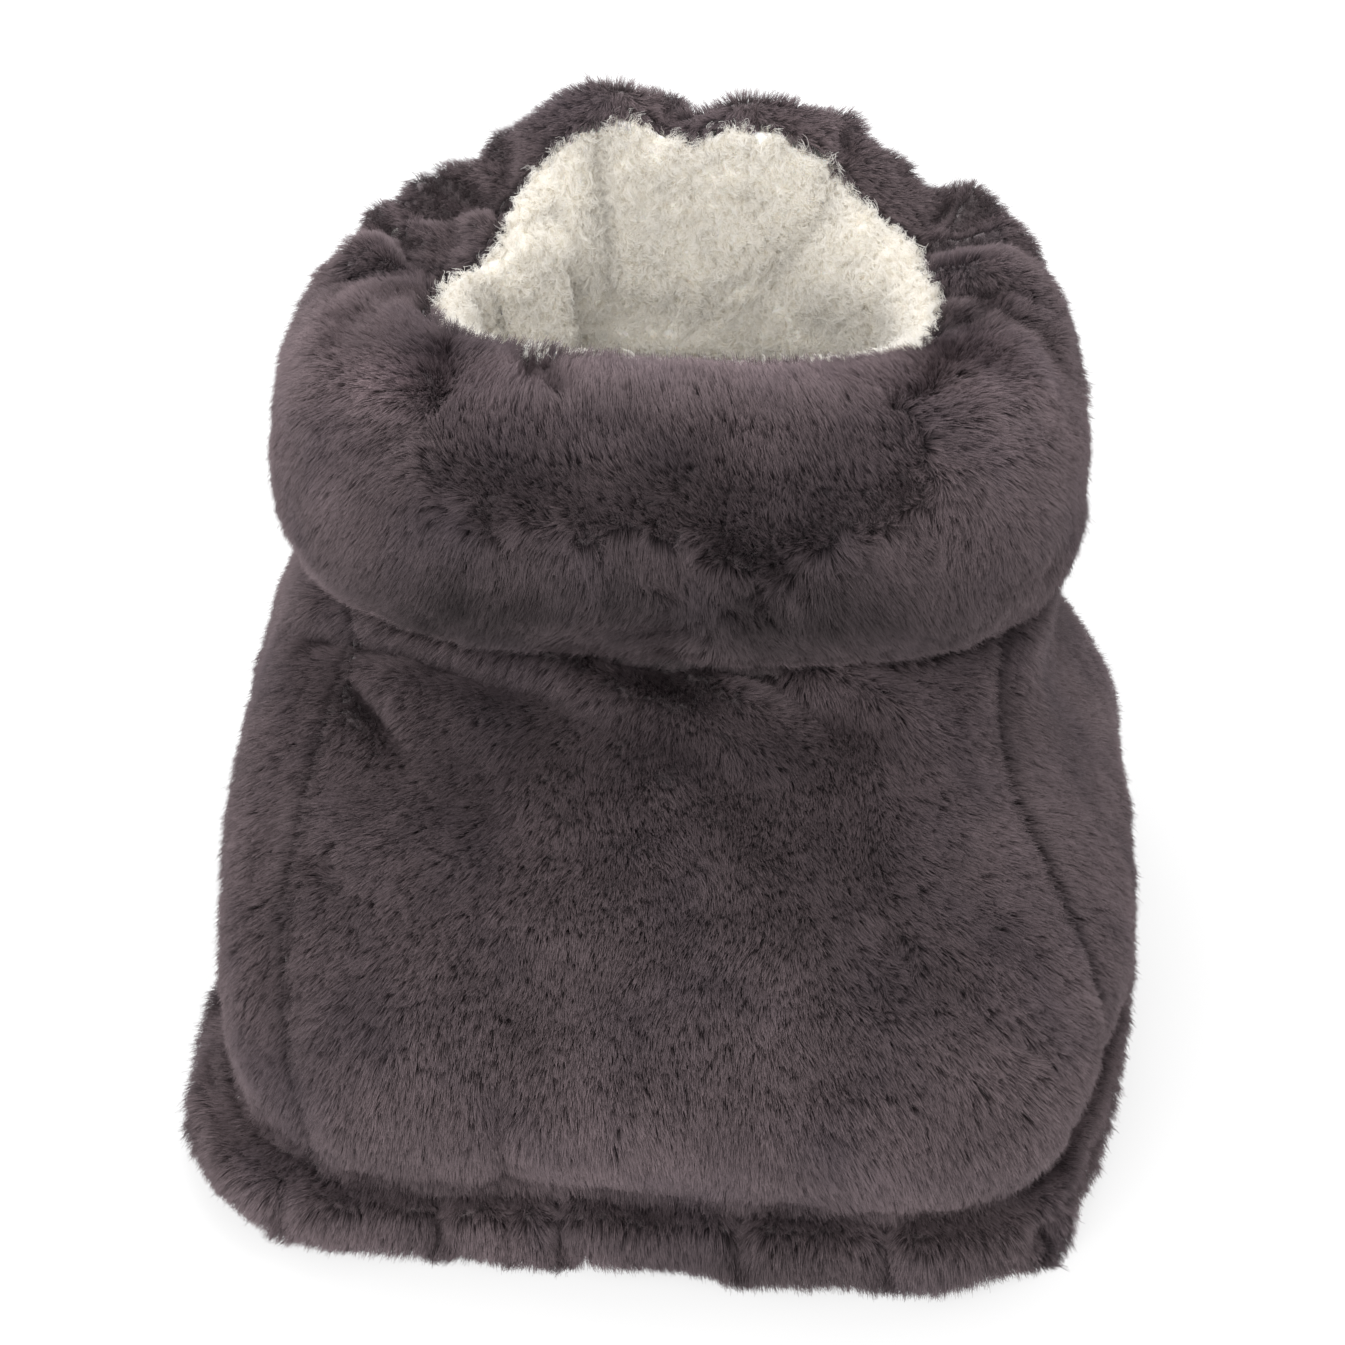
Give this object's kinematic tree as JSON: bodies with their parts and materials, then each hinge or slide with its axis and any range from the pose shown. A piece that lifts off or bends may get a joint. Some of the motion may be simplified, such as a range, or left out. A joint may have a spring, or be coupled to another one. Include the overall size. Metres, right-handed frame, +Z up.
{
  "type": "electric foot warmer boot",
  "caption": "Plush electric foot-warming boot for both feet: padded cuff, fleece lining, heater pad in the sole, rear zip and power inlet.",
  "frame": {"origin": "on the floor, under the middle of the boot's bounding box", "axes": "+Z up, the toe faces -Y, +X to the right of someone looking at the toe's front from outside"},
  "size_m": [0.3218, 0.3168, 0.2774],
  "materials": {
    "plush": "long dense faux-fur pile",
    "sherpa": "curly cream sherpa fleece",
    "wadding": "white polyester wadding",
    "grip_fabric": "mottled anti-slip fabric with rubbery dots",
    "foam": "closed-cell foam sheet",
    "board": "thin stiffening board",
    "pad_cloth": "non-woven heat-resistant cloth",
    "wire_sleeve": "silicone sleeve",
    "thermostat_case": "moulded thermostat case",
    "fuse_sleeve": "ceramic-white sleeve",
    "inlet_plastic": "moulded black plastic",
    "gasket_rubber": "soft black rubber",
    "plated_brass": "plated contact pins",
    "zip_tape": "woven zip tape, taupe",
    "zip_nylon": "moulded nylon teeth",
    "zip_metal": "satin nickel-plated metal"
  },
  "bodies": {
    "boot": {"vamp_panel": "plush", "side_right_panel": "plush", "heel_panel": "plush", "side_left_panel": "plush", "cuff_cover": "plush", "sole_trim": "plush", "vamp_lining": "sherpa", "side_right_lining": "sherpa", "heel_lining": "sherpa", "side_left_lining": "sherpa", "collar_lining": "sherpa", "footbed": "sherpa", "vamp_wadding": "wadding", "side_right_wadding": "wadding", "heel_wadding": "wadding", "side_left_wadding": "wadding", "cuff_filling": "wadding", "outsole": "grip_fabric", "sole_foam": "foam", "sole_board": "board", "heater_cover_bottom": "pad_cloth", "heater_cover_top": "pad_cloth", "heating_wire": "wire_sleeve", "lead_wire_left": "wire_sleeve", "lead_wire_right": "wire_sleeve", "thermostat": "thermostat_case", "thermal_fuse": "fuse_sleeve", "inlet_housing": "inlet_plastic", "inlet_gasket": "gasket_rubber", "inlet_pin_left": "plated_brass", "inlet_pin_right": "plated_brass", "zip_tape_upper": "zip_tape", "zip_tape_lower": "zip_tape", "zip_teeth_upper": "zip_nylon", "zip_teeth_lower": "zip_nylon", "zip_top_stop_upper": "zip_metal", "zip_top_stop_lower": "zip_metal", "zip_bottom_stop": "zip_metal"},
    "zip_slider": {"zip_slider": "zip_metal"},
    "zip_pull": {"zip_pull": "zip_metal"}
  },
  "joints": [
    {"name": "zip_slide", "type": "slide", "parent": "boot", "child": "zip_slider", "axis": [-1, 0, 0], "range_m": [0, 0.182], "deforming": ["zip_teeth_upper", "zip_teeth_lower", "zip_tape_upper", "zip_tape_lower"]},
    {"name": "pull_hinge", "type": "hinge", "parent": "zip_slider", "child": "zip_pull", "pos_m": [0.0957, 0.13935, 0.0397], "axis": [0, 0, -1], "range_deg": [0, 170]}
  ]
}
